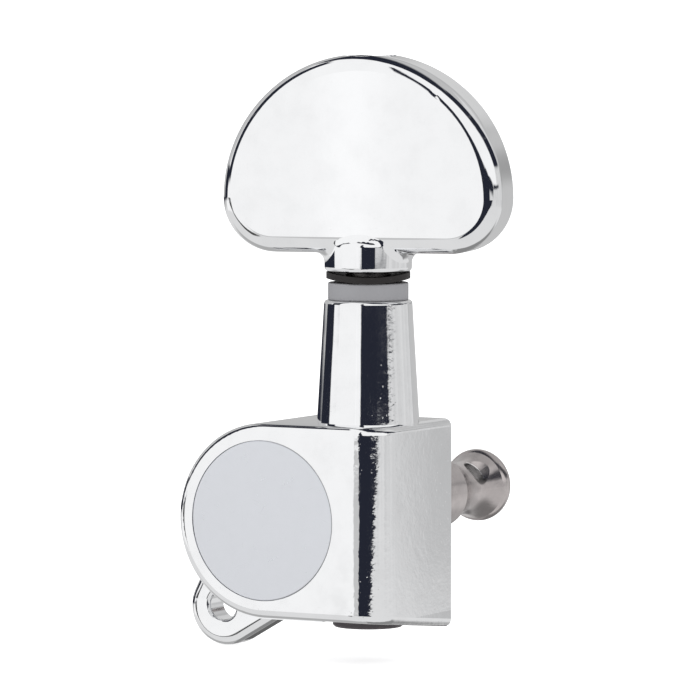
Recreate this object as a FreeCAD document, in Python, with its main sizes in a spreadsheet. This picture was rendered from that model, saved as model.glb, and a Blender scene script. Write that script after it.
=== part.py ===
import FreeCAD, Part
import math
import os
import re
import Sketcher

# Sealed guitar tuning machine. The origin is on the string post's axis, in the plane of the
# housing's seat on the headstock. +Y runs along the post, +Z along the worm shaft towards the
# button, +X from the post to the worm. Lengths are in millimetres and angles in degrees.

SIZES = {
    # Housing: a half-round shell with one straight end, slightly deeper at its seat
    "shell_radius": 7.75,
    "side_wall": 1.43,
    "shell_depth": 12.2,
    "seat_drop": 1.35,
    "nose_round": 2.75,
    "rim_round": 0.65,
    "chamber_gap": 0.45,
    # Screw ear beside the seat
    "ear_across": 9.4,
    "ear_below": 8.2,
    "ear_sag": 0.15,
    "ear_radius": 3.15,
    "ear_thickness": 2.3,
    "ear_round": 0.75,
    "ear_foot": 4.4,
    "ear_lean": 27,
    "ear_hole_radius": 1.22,
    "ear_hole_round": 0.35,
    # Barrel that enters the headstock, with the thread for the hex bushing
    "barrel_wall": 0.9,
    "barrel_length": 5.5,
    "barrel_chamfer": 0.4,
    "bushing_room": 0.65,
    "thread_depth": 0.35,
    "thread_pitch": 0.75,
    "thread_start": 0.6,
    # Tapered neck round the worm shaft
    "neck_height": 9.75,
    "neck_base_radius": 4.1,
    "neck_top_radius": 3.52,
    "neck_round": 0.3,
    # Round cover pressed into the back
    "cover_margin": 1.35,
    "cover_thickness": 1.0,
    "cover_gap": 0.02,
    "cover_sink": 0.06,
    "cover_chamfer": 0.04,
    # Worm drive
    "tooth_module": 0.55,
    "wheel_teeth": 15,
    "wheel_face": 3.2,
    "worm_pitch_radius": 2.2,
    "pressure_angle": 25,
    "flank_gap": 0.06,
    "addendum_share": 0.95,
    "dedendum_share": 1.2,
    "worm_turns": 4,
    "worm_half_length": 4.9,
    "collar_land": 0.7,
    "land_step": 0.15,
    "worm_bore_gap": 0.12,
    "pilot_radius": 1.2,
    "pilot_length": 1.8,
    "pilot_play": 0.2,
    # Plug under the worm
    "plug_proud": 0.23,
    "plug_chamfer": 0.15,
    # Worm shaft above the worm
    "shaft_radius": 1.75,
    "shaft_gap": 0.08,
    "flat_depth": 0.3,
    "shaft_grip": 9.0,
    "shaft_chamfer": 0.2,
    "thrust_thickness": 0.5,
    "bush_length": 5.0,
    "bush_wall": 0.8,
    # Running and seated clearances
    "running_gap": 0.04,
    "seated_gap": 0.01,
    # String post
    "post_radius": 3.0,
    "journal_step": 0.5,
    "post_square": 3.2,
    "stem_end": 17.2,
    "stem_round": 0.2,
    "waist_radius": 2.2,
    "waist_rise": 3.7,
    "head_radius": 3.05,
    "head_rise": 3.75,
    "head_edge": 0.25,
    "head_half": 0.65,
    "head_dome": 0.8,
    "string_hole_radius": 1.05,
    "string_hole_rise": 0.6,
    "string_hole_turn": 46,
    "string_hole_flare": 0.3,
    "post_shy": 0.1,
    "post_bush_wall": 0.9,
    "post_washer_thickness": 0.4,
    "washer_play": 0.1,
    "wheel_washer_radius": 3.4,
    "wheel_washer_thickness": 0.6,
    # Seal rings, as section radius and the play each has in its groove
    "seal_section": 0.28,
    "seal_play": 0.03,
    "post_seal_place": 2.2,
    "neck_seal_place": 9.6,
    # Wheel screw and its washer
    "wheel_screw_radius": 1.1,
    "wheel_screw_length": 4.5,
    "wheel_screw_head": 2.1,
    "wheel_screw_head_height": 1.2,
    "screw_slot": 0.5,
    "screw_floor": 0.4,
    "lock_washer_radius": 2.45,
    "lock_washer_thickness": 0.4,
    # Rings between neck and button
    "nylon_radius": 3.22,
    "nylon_height": 1.4,
    "nylon_round": 0.12,
    "spring_radius": 3.36,
    "spring_thickness": 0.5,
    "spring_bow": 0.33,
    "spring_turn": 30,
    "spring_play": 0.15,
    # Button
    "collar_radius": 3.5,
    "collar_height": 1.55,
    "collar_round": 0.4,
    "collar_blend": 0.5,
    "collar_foot": 0.8,
    "button_radius": 11.45,
    "button_corner": 4.35,
    "spot_radius": 2.4,
    "spot_depth": 0.2,
    "button_thickness": 6.0,
    "button_round": 1.3,
    "button_turn": 14.2,
    # Tension screw in the top of the button
    "tension_screw_radius": 1.0,
    "tension_screw_length": 12.0,
    "tension_head_radius": 1.55,
    "tension_head_height": 1.3,
    "tension_head_gap": 0.07,
    "tension_head_sink": 0.05,
    "tension_washer_thickness": 0.35,
    "cross_arm": 0.95,
    "cross_width": 0.4,
    "cross_depth": 0.7,
    # Overrun of every cut past the face that it opens
    "overrun": 1.0,
}

# Places and sizes that follow from the ones above
DERIVED = {
    "lead": "tooth_module * pi",
    "wheel_pitch_radius": "tooth_module * wheel_teeth / 2",
    "worm_across": "wheel_pitch_radius + worm_pitch_radius",
    "worm_depth": "shell_depth / 2",
    "shell_reach": "worm_across + worm_bore + side_wall",
    "cover_radius": "shell_radius - cover_margin",
    "addendum": "tooth_module * addendum_share",
    "dedendum": "tooth_module * dedendum_share",
    "worm_radius": "worm_pitch_radius + addendum",
    "worm_root": "worm_pitch_radius - dedendum",
    "wheel_radius": "wheel_pitch_radius + addendum",
    "wheel_root": "wheel_pitch_radius - dedendum",
    "wheel_base": "wheel_pitch_radius * cos(pressure_angle)",
    "twist": "wheel_face * lead / (2 * pi * worm_pitch_radius) / wheel_pitch_radius * 180 / pi",
    "thrust_radius": "worm_radius - land_step",
    "worm_bore": "worm_radius + worm_bore_gap",
    "shaft_flat": "shaft_radius - flat_depth",
    "shaft_bore": "shaft_radius + shaft_gap",
    "bore_shoulder": "worm_half_length + thrust_thickness",
    "chamber_radius": "wheel_radius + chamber_gap",
    "seat_bottom": "shell_radius + seat_drop",
    "plug_bottom": "shell_radius + seat_drop / 2 + plug_proud",
    "ear_low": "ear_below + ear_sag",
    "foot_span": "sqrt((ear_across - ear_foot) ^ 2 + (seat_bottom - ear_low) ^ 2)",
    "foot_reach": "sqrt(foot_span ^ 2 - ear_radius ^ 2)",
    "foot_slope": "(asin(ear_radius / foot_span) - atan((seat_bottom - ear_low) / (ear_across - ear_foot)))",
    "web_reach": "ear_radius + ear_across * cos(ear_lean) - ear_low * sin(ear_lean)",
    "tooth_half": "(90 / wheel_teeth - flank_gap / 2 / wheel_pitch_radius * 180 / pi)",
    "thread_half": "(lead / 4 - flank_gap / 2)",
    "neck_top": "shell_radius + neck_height",
    "neck_bush_radius": "shaft_radius + running_gap + bush_wall",
    "post_bore": "journal_radius + running_gap + post_bush_wall",
    "dome_edge": "head_radius - head_edge",
    "dome_sphere": "(dome_edge ^ 2 + head_dome ^ 2) / (2 * head_dome)",
    "head_top": "head_place + head_half + head_dome",
    "nylon_top": "neck_top + nylon_height",
    "collar_bottom": "nylon_top + spring_bow + spring_thickness + seated_gap",
    "button_bottom": "collar_bottom + collar_height",
    "button_middle": "button_bottom + button_corner",
    "button_top": "button_middle + button_radius - spot_depth",
    "shaft_end": "collar_bottom + shaft_grip",
    "tension_seat": "button_top - tension_head_sink - tension_head_height - tension_washer_thickness",
    "tension_tip": "tension_seat + tension_washer_thickness - tension_screw_length",
    "wheel_back": "worm_depth + wheel_face / 2",
    "wheel_front": "worm_depth - wheel_face / 2",
    "seat_wall": "wheel_front - wheel_washer_thickness",
    "thread_radius": "post_radius + bushing_room",
    "barrel_radius": "thread_radius + thread_depth + barrel_wall",
    "journal_radius": "post_radius - journal_step",
    "waist_place": "stem_end + waist_rise",
    "head_place": "waist_place + head_rise",
    "string_hole_place": "waist_place + string_hole_rise",
}

WORD = re.compile(r"[a-z_]+")

doc = FreeCAD.newDocument("TuningMachine")
sheet = doc.addObject("Spreadsheet::Sheet", "Sizes")


def fill_sheet():
    """Write every driving size to its own cell, with its alias."""
    for row, (name, size) in enumerate(SIZES.items(), start=1):
        sheet.set("A%d" % row, name.replace("_", " "))
        sheet.set("B%d" % row, str(size))
        sheet.setAlias("B%d" % row, name)
    doc.recompute()


def formula(text):
    """The expression for a text that names sizes and derived places."""
    def swap(found):
        word = found.group(0)
        if word in DERIVED:
            return "(" + formula(DERIVED[word]) + ")"
        return "Sizes." + word if word in SIZES else word
    return WORD.sub(swap, text)


def value(text):
    """The number that a text of sizes gives now."""
    return float(sheet.evalExpression(formula(text)))


def bind(thing, place, text):
    """Let a property follow the sizes named in a text."""
    thing.setExpression(place, formula(text))


def origin_part(body, role):
    """One of a body's own origin planes or axes."""
    return [part for part in body.Origin.OriginFeatures if part.Role == role][0]


def new_body(name, across="0", depth="0", height="0", along="Z"):
    """A body whose own Z axis runs along the row's Z, or along the post for Y."""
    body = doc.addObject("PartDesign::Body", name)
    body.Label = name
    if along == "Y":
        body.Placement = FreeCAD.Placement(FreeCAD.Vector(), FreeCAD.Rotation(FreeCAD.Vector(1, 0, 0), -90))
    for axis, text in zip("xyz", (across, depth, height)):
        bind(body, "Placement.Base." + axis, text)
    return body


def turned_about(x, y, z):
    """A placement turned about an axis by an angle that is bound afterwards."""
    return FreeCAD.Placement(FreeCAD.Vector(), FreeCAD.Rotation(FreeCAD.Vector(x, y, z), 1))


def post_body(name, height="0"):
    """A body turned about the string post's axis, its own Z up the post."""
    return new_body(name, "0", height, "0", along="Y")


def worm_body(name, height="0"):
    """A body turned about the worm's axis."""
    return new_body(name, "worm_across", "-(worm_depth)", height)


def new_sketch(body, name, role="XZ_Plane", ahead="0", right="0", up="0"):
    """A sketch on one of the body's planes, moved along the plane's normal and within it."""
    sketch = body.newObject("Sketcher::SketchObject", name)
    sketch.AttachmentSupport = [(origin_part(body, role), "")]
    sketch.MapMode = "FlatFace"
    for axis, text in zip("xyz", (right, up, ahead)):
        bind(sketch, "AttachmentOffset.Base." + axis, text)
    return sketch


def pin_point(sketch, index, end, place):
    """Hold one point of a sketch at a place given by two texts."""
    for kind, text, axis in (("DistanceX", place[0], -2), ("DistanceY", place[1], -1)):
        if text == "0":
            sketch.addConstraint(Sketcher.Constraint("PointOnObject", index, end, axis))
        else:
            added = sketch.addConstraint(Sketcher.Constraint(kind, -1, 1, index, end, value(text)))
            bind(sketch, "Constraints[%d]" % added, text)


def spot(place):
    """A place given by two texts, as a point in the sketch."""
    return FreeCAD.Vector(value(place[0]), value(place[1]), 0)


def add_arc(sketch, start, middle, end):
    """An arc through three places. Gives its index and the ends that match start and end."""
    first, through, last = spot(start), spot(middle), spot(end)
    index = sketch.addGeometry(Part.Arc(first, through, last), False)
    held = sketch.addGeometry(Part.Point(through), True)
    pin_point(sketch, held, 1, middle)
    sketch.addConstraint(Sketcher.Constraint("PointOnObject", held, 1, index))
    reach = [sketch.getPoint(index, end).distanceToPoint(first) for end in (1, 2)]
    return (index, 1, 2) if reach[0] < reach[1] else (index, 2, 1)


def draw(sketch, corners):
    """A closed outline. A corner is a pair of texts; a pair after "arc" bends the next stretch."""
    ends = []
    bend = None
    points = []
    for corner in corners:
        if corner[0] == "arc":
            bend = corner[1]
        else:
            points.append((corner, bend))
            bend = None
    points.append((points[0][0], bend))
    for (start, _), (end, middle) in zip(points, points[1:]):
        if middle:
            ends.append(add_arc(sketch, start, middle, end) + (start,))
        else:
            line = sketch.addGeometry(Part.LineSegment(spot(start), spot(end)), False)
            ends.append((line, 1, 2, start))
    for (index, first, _, start), (before, _, last, _) in zip(ends, ends[-1:] + ends[:-1]):
        sketch.addConstraint(Sketcher.Constraint("Coincident", before, last, index, first))
        pin_point(sketch, index, first, start)
    return sketch


def draw_circle(sketch, radius, across="0", up="0"):
    """A circle held by its centre and radius."""
    centre = spot((across, up))
    index = sketch.addGeometry(Part.Circle(centre, FreeCAD.Vector(0, 0, 1), value(radius)), False)
    pin_point(sketch, index, 3, (across, up))
    added = sketch.addConstraint(Sketcher.Constraint("Radius", index, value(radius)))
    bind(sketch, "Constraints[%d]" % added, radius)
    return sketch


def finish_step(body, feature, cuts=False):
    """Recompute, and see that a cut took material away and any other step added some."""
    before = body.Shape.Volume if body.Shape and not body.Shape.isNull() else 0
    doc.recompute()
    change = body.Shape.Volume - before
    if (change >= 0) if cuts else (change <= 0):
        raise RuntimeError("%s in %s changed the volume by %g" % (feature.Name, body.Label, change))
    return feature


def turn_sketch(body, name, sketch, cuts=False, axis="V_Axis"):
    """Turn a sketch full circle about one of its own axes."""
    feature = body.newObject("PartDesign::Groove" if cuts else "PartDesign::Revolution", name)
    feature.Profile = sketch
    feature.ReferenceAxis = (sketch, [axis])
    feature.Angle = 360
    return finish_step(body, feature, cuts)


def revolve(body, name, corners, cuts=False, ahead="0", right="0"):
    """Turn an outline about the sketch's upright axis; the outline is (radius, height)."""
    sketch = draw(new_sketch(body, name + "_profile", "XZ_Plane", ahead, right), corners)
    return turn_sketch(body, name, sketch, cuts)


def revolve_post(body, name, corners, cuts=False):
    """Turn an outline about the row's Y axis; the outline is (radius, place along the post)."""
    sketch = draw(new_sketch(body, name + "_profile", "XY_Plane"), corners)
    return turn_sketch(body, name, sketch, cuts)


def raise_sketch(body, name, sketch, length, cuts=False, back=False, both=False):
    """Pad or pocket a sketch by a length, along its normal or back."""
    feature = body.newObject("PartDesign::Pocket" if cuts else "PartDesign::Pad", name)
    feature.Profile = sketch
    feature.SideType = "Symmetric" if both else "One side"
    feature.Reversed = back
    bind(feature, "Length", length)
    return finish_step(body, feature, cuts)


def edges_where(shape, test):
    """Names of the edges whose middle point passes a test."""
    names = []
    for number, edge in enumerate(shape.Edges, start=1):
        middle = edge.valueAt((edge.FirstParameter + edge.LastParameter) / 2)
        if test(edge, middle):
            names.append("Edge%d" % number)
    return names


def soften(body, name, test, size, kind="Fillet"):
    """Round or chamfer the edges of the body's tip that pass a test."""
    base = body.Tip
    names = edges_where(base.Shape, test)
    if not names:
        raise RuntimeError("no edge found for %s in %s" % (name, body.Label))
    feature = body.newObject("PartDesign::" + kind, name)
    feature.Base = (base, names)
    bind(feature, "Radius" if kind == "Fillet" else "Size", size)
    doc.recompute()
    return feature


def near(a, b):
    """Whether two lengths agree closely."""
    return abs(a - b) < value("seated_gap")


def rise(edge):
    """How far an edge climbs from one end to the other."""
    return abs(edge.valueAt(edge.FirstParameter).z - edge.valueAt(edge.LastParameter).z)


def is_ring(edge, radius, height=None):
    """Whether an edge is a circle of this radius, at this height in the body."""
    try:
        circle = edge.Curve
    except TypeError:
        return False
    if not isinstance(circle, Part.Circle) or not near(circle.Radius, radius):
        return False
    return height is None or near(circle.Center.z, height)


def cylinder_ring(name, body, inner, outer, height):
    """A plain washer or sleeve that stands on its body's origin."""
    return revolve(body, name, [(inner, "0"), (outer, "0"), (outer, height), (inner, height)])


def make_shell(body):
    """The outer form of the housing: round end, straight end and rounded back edges."""
    face = draw_circle(new_sketch(body, "round_back", ahead="shell_depth"), "shell_radius")
    seat = draw_circle(new_sketch(body, "round_seat"), "shell_radius + seat_drop / 2",
                       up="-(seat_drop / 2)")
    loft = body.newObject("PartDesign::AdditiveLoft", "round_end")
    loft.Profile, loft.Sections = face, [seat]
    finish_step(body, loft)
    for name, ahead, bottom in (("straight_back", "shell_depth", "shell_radius"),
                                ("straight_seat", "0", "seat_bottom")):
        draw(new_sketch(body, name, ahead=ahead),
             [("0", "-(%s)" % bottom), ("shell_reach", "-(%s)" % bottom),
              ("shell_reach", "shell_radius"), ("0", "shell_radius")])
    loft = body.newObject("PartDesign::AdditiveLoft", "straight_end")
    loft.Profile = doc.getObject("straight_back")
    loft.Sections = [doc.getObject("straight_seat")]
    finish_step(body, loft)
    reach, depth, seat_gap = value("shell_reach"), value("shell_depth"), value("rim_round")
    soften(body, "nose", lambda edge, at: near(at.x, reach) and near(at.y, -depth), "nose_round")
    soften(body, "rim", lambda edge, at: near(at.y, -depth)
           or (at.x > reach - value("nose_round") and abs(at.z) > value("shell_radius") - seat_gap
               and at.y < -value("ear_round") and rise(edge) < value("shell_radius")),
           "rim_round")


def make_ear(body):
    """The screw ear and the web that joins it to the seat."""
    outline = draw_circle(new_sketch(body, "ear_outline"), "ear_radius", "-(ear_across)", "-(ear_low)")
    raise_sketch(body, "ear", outline, "ear_thickness")
    web = draw(new_sketch(body, "web_outline"), [
        ("-(ear_foot + foot_reach * cos(foot_slope))", "-(seat_bottom + foot_reach * sin(foot_slope))"),
        ("-(ear_foot)", "-(seat_bottom)"),
        ("0", "-(seat_bottom)"),
        ("0", "0"),
        ("-(web_reach * cos(ear_lean))", "web_reach * sin(ear_lean)"),
        ("-(ear_across + ear_radius * cos(ear_lean))", "ear_radius * sin(ear_lean) - ear_low")])
    raise_sketch(body, "web", web, "ear_thickness")
    thickness, clear = value("ear_thickness"), value("shell_radius + seat_drop + ear_round")
    soften(body, "ear_edge", lambda edge, at: near(at.y, -thickness)
           and math.hypot(at.x, at.z) > clear and at.x < 0, "ear_round")
    hole = draw_circle(new_sketch(body, "ear_hole_outline", ahead="ear_thickness"),
                       "ear_hole_radius", "-(ear_across)", "-(ear_below)")
    raise_sketch(body, "ear_hole", hole, "ear_thickness + overrun", cuts=True)
    radius = value("ear_hole_radius")
    soften(body, "ear_hole_edge", lambda edge, at: is_ring(edge, radius) and near(at.y, -thickness),
           "ear_hole_round")


def make_barrel(body):
    """The barrel on the seat and the bores for the bushing, the post and its bush."""
    revolve_post(body, "barrel", [
        ("0", "-(overrun)"), ("barrel_radius", "-(overrun)"),
        ("barrel_radius", "barrel_length - barrel_chamfer"),
        ("barrel_radius - barrel_chamfer", "barrel_length"), ("0", "barrel_length")])
    revolve_post(body, "post_bores", [
        ("0", "-(seat_wall + overrun)"), ("post_bore + seated_gap", "-(seat_wall + overrun)"),
        ("post_bore + seated_gap", "-(post_washer_thickness)"),
        ("thread_radius", "-(post_washer_thickness)"),
        ("thread_radius", "barrel_length - thread_depth"),
        ("thread_radius + thread_depth + overrun", "barrel_length + overrun"),
        ("0", "barrel_length + overrun")], cuts=True)
    inside = "thread_radius - flank_gap"
    tooth = draw(new_sketch(body, "thread_tooth", "XY_Plane", up="thread_start"), [
        (inside, "-(thread_pitch / 2 - flank_gap)"), ("thread_radius + thread_depth", "0"),
        (inside, "thread_pitch / 2 - flank_gap")])
    thread = body.newObject("PartDesign::SubtractiveHelix", "bushing_thread")
    thread.Profile = tooth
    thread.ReferenceAxis = (tooth, ["V_Axis"])
    thread.Mode = "pitch-height-angle"
    bind(thread, "Pitch", "thread_pitch")
    bind(thread, "Height", "barrel_length")
    finish_step(body, thread, cuts=True)


def make_neck(body):
    """The tapered neck and the bores for the worm, its shaft and the neck bush."""
    revolve(body, "neck", [
        ("0", "shell_radius - overrun"), ("neck_base_radius", "shell_radius - overrun"),
        ("neck_base_radius", "shell_radius"), ("neck_top_radius", "neck_top"),
        ("0", "neck_top")], ahead="worm_depth", right="worm_across")
    top, radius = value("neck_top"), value("neck_top_radius")
    soften(body, "neck_edge", lambda edge, at: is_ring(edge, radius, top), "neck_round")
    revolve(body, "worm_bores", [
        ("0", "-(seat_bottom + overrun)"), ("worm_bore", "-(seat_bottom + overrun)"),
        ("worm_bore", "bore_shoulder"), ("shaft_bore", "bore_shoulder"),
        ("shaft_bore", "neck_top - bush_length"),
        ("neck_bush_radius + seated_gap", "neck_top - bush_length"),
        ("neck_bush_radius + seated_gap", "neck_top + overrun"),
        ("0", "neck_top + overrun")], cuts=True, ahead="worm_depth", right="worm_across")


def make_chamber(body):
    """The wheel chamber, open at the back, and the recess for the cover."""
    for name, radius, depth in (("chamber", "chamber_radius", "shell_depth - seat_wall"),
                                ("cover_recess", "cover_radius + cover_gap", "cover_thickness")):
        outline = draw_circle(new_sketch(body, name + "_outline", ahead="shell_depth"), radius)
        raise_sketch(body, name, outline, depth, cuts=True)


def housing():
    """Die-cast housing in one piece: shell, ear, barrel and neck."""
    body = new_body("housing")
    make_shell(body)
    make_ear(body)
    make_neck(body)
    make_chamber(body)
    make_barrel(body)


def gear_cover():
    """Round cover, pressed just below the back of the housing."""
    body = post_body("gear_cover", "-(shell_depth - cover_sink)")
    cylinder_ring("disc", body, "0", "cover_radius", "cover_thickness - cover_sink")
    radius = value("cover_radius")
    soften(body, "edge", lambda edge, at: is_ring(edge, radius, 0), "cover_chamfer", "Chamfer")


def string_post():
    """Turned post: square end for the wheel, journal, stem, waist with the string hole, head."""
    body = post_body("string_post")
    revolve(body, "turning", [
        ("0", "-(wheel_front)"), ("journal_radius", "-(wheel_front)"), ("journal_radius", "0"),
        ("post_radius", "0"), ("post_radius", "stem_end"),
        ("arc", ("waist_radius", "waist_place")),
        ("dome_edge", "head_place - head_half"),
        ("arc", ("head_radius", "head_place")),
        ("dome_edge", "head_place + head_half"),
        ("arc", ("dome_edge / 2", "head_top - dome_sphere + sqrt(dome_sphere ^ 2 - (dome_edge / 2) ^ 2)")),
        ("0", "head_top")])
    square = draw_square(new_sketch(body, "square_outline", "XY_Plane", "-(wheel_front)"), "post_square / 2")
    raise_sketch(body, "square", square, "wheel_face - post_shy", back=True)
    revolve(body, "screw_hole", [
        ("0", "-(wheel_back + overrun)"),
        ("wheel_screw_radius + seated_gap", "-(wheel_back + overrun)"),
        ("wheel_screw_radius + seated_gap", "wheel_screw_length + screw_floor - wheel_back"),
        ("0", "wheel_screw_length + screw_floor - wheel_back")], cuts=True)
    seal_groove(body, "journal_radius", "journal_radius + running_gap", "-(post_seal_place)")
    edge_radius, edge_height = value("post_radius"), value("stem_end")
    soften(body, "stem_edge", lambda edge, at: is_ring(edge, edge_radius, edge_height), "stem_round")
    hole = new_sketch(body, "string_hole_outline", up="string_hole_place")
    hole.AttachmentOffset = turned_about(0, -1, 0)
    bind(hole, "AttachmentOffset.Rotation.Angle", "string_hole_turn")
    reach, straight = "(head_radius + overrun)", "(waist_radius - string_hole_flare)"
    wide = "string_hole_radius + %s - %s" % (reach, straight)
    draw(hole, [("-" + reach, "0"), (reach, "0"), (reach, wide), (straight, "string_hole_radius"),
                ("-" + straight, "string_hole_radius"), ("-" + reach, wide)])
    turn_sketch(body, "string_hole", hole, cuts=True, axis="H_Axis")


def seal_groove(body, radius, bore, height):
    """A groove for a seal ring that just clears the bore round it."""
    floor = "%s - 2 * (seal_section + seal_play)" % bore
    half = "(seal_section + seal_play)"
    revolve(body, "seal_groove", [
        (floor, "%s - %s" % (height, half)), (radius + " + overrun", "%s - %s" % (height, half)),
        (radius + " + overrun", "%s + %s" % (height, half)), (floor, "%s + %s" % (height, half))],
        cuts=True)


def draw_square(sketch, half):
    """A square about the sketch's origin."""
    low = "-(%s)" % half
    return draw(sketch, [(low, low), (half, low), (half, half), (low, half)])


def seal_ring(name, bore, across, depth, height, along):
    """A rubber ring in its groove, centred on the shaft it seals."""
    ring = doc.addObject("Part::Torus", name)
    ring.Label = name
    bind(ring, "Radius1", "%s - seal_play - seal_section" % bore)
    bind(ring, "Radius2", "seal_section")
    if along == "Y":
        ring.Placement = FreeCAD.Placement(FreeCAD.Vector(), FreeCAD.Rotation(FreeCAD.Vector(1, 0, 0), -90))
    for axis, text in zip("xyz", (across, depth, height)):
        bind(ring, "Placement.Base." + axis, text)


def flank(radius, side):
    """Angle of a wheel tooth's flank at a radius, from the tooth's middle: an involute."""
    pressure = "(acos(wheel_base / (%s)) / 1 deg)" % radius
    rise = "(tan(%s) * 180 / pi - %s)"
    return "%s(tooth_half + %s - %s)" % (side, rise % ("pressure_angle", "pressure_angle"),
                                         rise % (pressure, pressure))


def tooth_outline(sketch, turn):
    """One wheel tooth turned by an angle, from below its root to its tip."""
    def polar(radius, angle):
        return ("(%s) * cos(%s)" % (radius, angle), "(%s) * sin(%s)" % (radius, angle))

    low = "wheel_base + flank_gap"
    middle = "(%s + wheel_radius) / 2" % low
    corners = []
    for side, radii in (("-", (low, middle, "wheel_radius")), ("", ("wheel_radius", middle, low))):
        places = [polar(radius, "%s + %s" % (turn, flank(radius, side))) for radius in radii]
        foot = polar("wheel_root - flank_gap", "%s + %s" % (turn, flank(low, side)))
        if side == "-":
            corners += [foot, places[0], ("arc", places[1]), places[2]]
        else:
            corners += [places[0], ("arc", places[1]), places[2], foot]
    return draw(sketch, corners)


def worm_wheel():
    """Wheel with slightly twisted teeth, on the square end of the post."""
    body = post_body("worm_wheel", "-(worm_depth)")
    rim = draw_circle(new_sketch(body, "rim_outline", "XY_Plane"), "wheel_root")
    raise_sketch(body, "rim", rim, "wheel_face", both=True)
    sections = []
    for name, side in (("tooth_back", "-"), ("tooth_front", "")):
        sketch = new_sketch(body, name, "XY_Plane", "%s(wheel_face / 2)" % side)
        sections.append(tooth_outline(sketch, "(180 / wheel_teeth) + %s(twist / 2)" % side))
    tooth = body.newObject("PartDesign::AdditiveLoft", "tooth")
    tooth.Profile, tooth.Sections, tooth.Ruled = sections[0], [sections[1]], True
    finish_step(body, tooth)
    teeth = body.newObject("PartDesign::PolarPattern", "teeth")
    teeth.Originals = [tooth]
    teeth.Axis = (origin_part(body, "Z_Axis"), [""])
    teeth.Angle = 360
    bind(teeth, "Occurrences", "wheel_teeth")
    body.Tip = teeth
    finish_step(body, teeth)
    square = draw_square(new_sketch(body, "square_outline", "XY_Plane"), "post_square / 2 + seated_gap")
    raise_sketch(body, "square_hole", square, "wheel_face + overrun", cuts=True, both=True)


def wheel_screw():
    """Screw that clamps the wheel on the post."""
    body = post_body("wheel_screw", "-(wheel_back + lock_washer_thickness)")
    revolve(body, "turning", [
        ("0", "-(wheel_screw_head_height)"), ("wheel_screw_head", "-(wheel_screw_head_height)"),
        ("wheel_screw_head", "0"), ("wheel_screw_radius", "0"),
        ("wheel_screw_radius", "wheel_screw_length"), ("0", "wheel_screw_length")])
    slot = draw(new_sketch(body, "slot_outline", "XY_Plane", "-(wheel_screw_head_height)"), [
        ("-(wheel_screw_head + overrun)", "-(screw_slot / 2)"),
        ("wheel_screw_head + overrun", "-(screw_slot / 2)"),
        ("wheel_screw_head + overrun", "screw_slot / 2"),
        ("-(wheel_screw_head + overrun)", "screw_slot / 2")])
    raise_sketch(body, "slot", slot, "screw_slot", cuts=True, back=True)


def worm_shaft():
    """Worm, collars, pilot and the shaft that carries the button, in one piece."""
    body = worm_body("worm_shaft")
    land = "worm_half_length - collar_land"
    revolve(body, "turning", [
        ("0", "-(worm_half_length + pilot_length)"),
        ("pilot_radius", "-(worm_half_length + pilot_length)"),
        ("pilot_radius", "-(worm_half_length)"), ("thrust_radius", "-(worm_half_length)"),
        ("thrust_radius", "-(%s)" % land), ("worm_root", "-(%s)" % land), ("worm_root", land),
        ("thrust_radius", land), ("thrust_radius", "worm_half_length"),
        ("shaft_radius", "worm_half_length"), ("shaft_radius", "shaft_end"), ("0", "shaft_end")])
    radius, end = value("shaft_radius"), value("shaft_end")
    soften(body, "shaft_tip", lambda edge, at: is_ring(edge, radius, end), "shaft_chamfer", "Chamfer")
    seal_groove(body, "shaft_radius", "shaft_bore", "neck_seal_place")
    flats = new_sketch(body, "flats_outline", "XY_Plane", "shaft_end")
    for side in ("", "-"):
        draw(flats, [("-(shaft_radius + overrun)", side + "(shaft_flat)"),
                     ("shaft_radius + overrun", side + "(shaft_flat)"),
                     ("shaft_radius + overrun", side + "(shaft_radius + overrun)"),
                     ("-(shaft_radius + overrun)", side + "(shaft_radius + overrun)")])
    raise_sketch(body, "flats", flats, "shaft_grip + seated_gap", cuts=True)
    revolve(body, "tension_hole", [
        ("0", "tension_tip - screw_floor"),
        ("tension_screw_radius + running_gap", "tension_tip - screw_floor"),
        ("tension_screw_radius + running_gap", "shaft_end + overrun"), ("0", "shaft_end + overrun")],
        cuts=True)
    foot = "worm_root - flank_gap"
    rack = draw(new_sketch(body, "thread_profile", up="-(lead * worm_turns / 2)"), [
        ("-(%s)" % foot, "-(thread_half + (worm_pitch_radius - (%s)) * tan(pressure_angle))" % foot),
        ("-(worm_radius)", "-(thread_half - addendum * tan(pressure_angle))"),
        ("-(worm_radius)", "thread_half - addendum * tan(pressure_angle)"),
        ("-(%s)" % foot, "thread_half + (worm_pitch_radius - (%s)) * tan(pressure_angle)" % foot)])
    thread = body.newObject("PartDesign::AdditiveHelix", "thread")
    thread.Profile = rack
    thread.ReferenceAxis = (rack, ["V_Axis"])
    thread.Mode = "pitch-height-angle"
    bind(thread, "Pitch", "lead")
    bind(thread, "Height", "lead * worm_turns")
    finish_step(body, thread)


def worm_end_plug():
    """Plug under the worm, with the pilot's blind bearing hole in its top."""
    body = worm_body("worm_end_plug")
    revolve(body, "turning", [
        ("0", "-(plug_bottom)"), ("worm_bore - seated_gap - plug_chamfer", "-(plug_bottom)"),
        ("worm_bore - seated_gap", "-(plug_bottom - plug_chamfer)"),
        ("worm_bore - seated_gap", "-(bore_shoulder)"),
        ("pilot_radius + running_gap", "-(bore_shoulder)"),
        ("pilot_radius + running_gap", "-(worm_half_length + pilot_length + pilot_play)"),
        ("0", "-(worm_half_length + pilot_length + pilot_play)")])


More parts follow.
